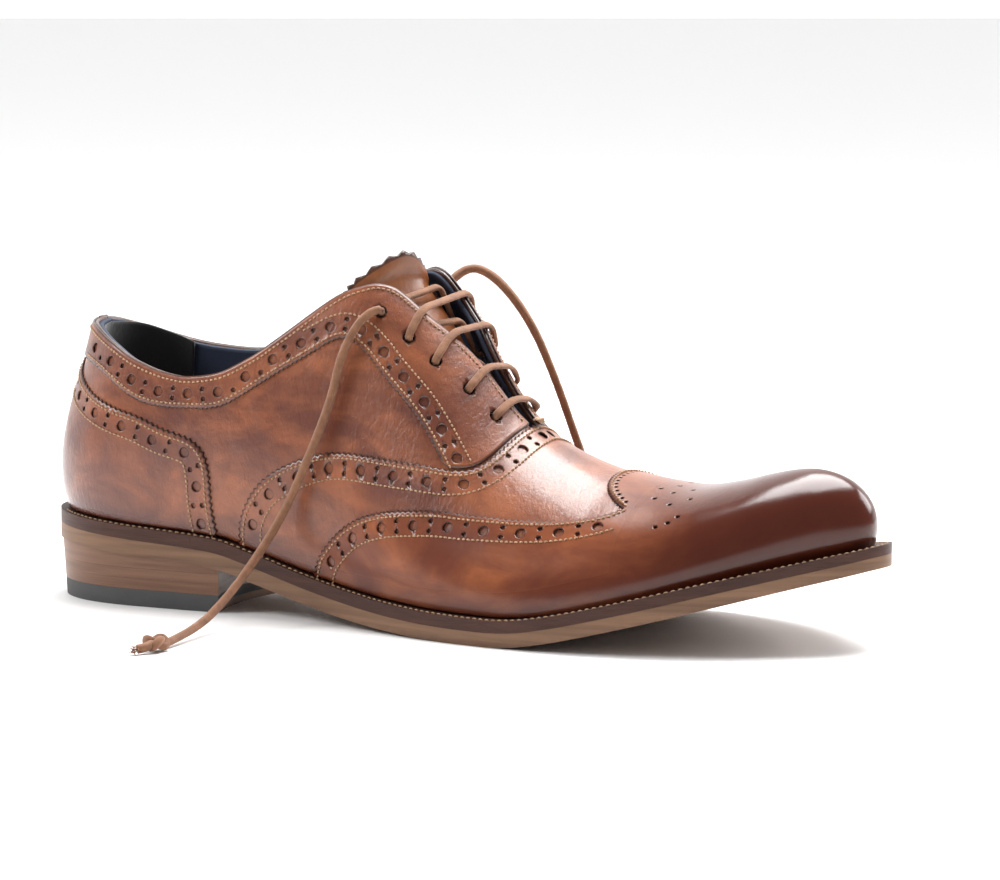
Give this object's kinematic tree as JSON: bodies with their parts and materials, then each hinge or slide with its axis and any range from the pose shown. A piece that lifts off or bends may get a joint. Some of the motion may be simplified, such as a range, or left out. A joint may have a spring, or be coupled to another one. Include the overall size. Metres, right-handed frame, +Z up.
{
  "type": "oxford_shoe",
  "caption": "Right brogued leather oxford shoe with wing cap, stacked heel, welted leather sole and untied leather laces.",
  "frame": {"origin": "middle of the box round the shoe without its loose laces, on the ground", "axes": "+X from heel to toe, +Y to the inner (medial) side, +Z up"},
  "size_m": [0.3128, 0.238, 0.1188],
  "materials": {
    "outsole": "satin",
    "welt": "satin",
    "shank": "satin",
    "cork": "matte",
    "insole": "matte",
    "sock": "matte",
    "top_leather": "matte",
    "rubber": "matte",
    "lifts": "satin",
    "nails": "satin",
    "cap": "gloss",
    "upper": "gloss",
    "canvas": "matte",
    "lining": "matte",
    "grip": "matte",
    "board": "matte",
    "tongue": "satin",
    "lace": "matte",
    "thread": "matte"
  },
  "bodies": {
    "shoe": {"outsole": "outsole", "welt": "welt", "heel_rand": "welt", "shank": "shank", "cork_filler": "cork", "insole": "insole", "sock_liner": "sock", "top_piece_leather": "top_leather", "top_piece_rubber": "rubber", "heel_lift_1": "lifts", "heel_lift_2": "lifts", "heel_lift_3": "lifts", "top_piece_nails": "nails", "wing_cap": "cap", "vamp": "upper", "counter": "upper", "facing_lateral": "upper", "facing_medial": "upper", "quarter_lateral": "upper", "quarter_medial": "upper", "vamp_lining_lateral": "canvas", "vamp_lining_medial": "canvas", "quarter_lining_lateral": "lining", "quarter_lining_medial": "lining", "heel_grip": "grip", "heel_stiffener": "board", "toe_puff": "board", "lace_crossings": "lace", "lace_end_lateral": "lace", "lace_end_medial": "lace", "knot_lateral": "lace", "knot_medial": "lace", "bar_tack": "thread"},
    "tongue_flap": {"tongue": "tongue", "tongue_lining": "lining"}
  },
  "joints": [
    {"name": "tongue_hinge", "type": "hinge", "parent": "shoe", "child": "tongue_flap", "pos_m": [0.0404, 0.0008, 0.0475], "axis": [0, -1, 0], "range_deg": [0, 8], "stiffness_Nm_per_rad": 0.02}
  ]
}
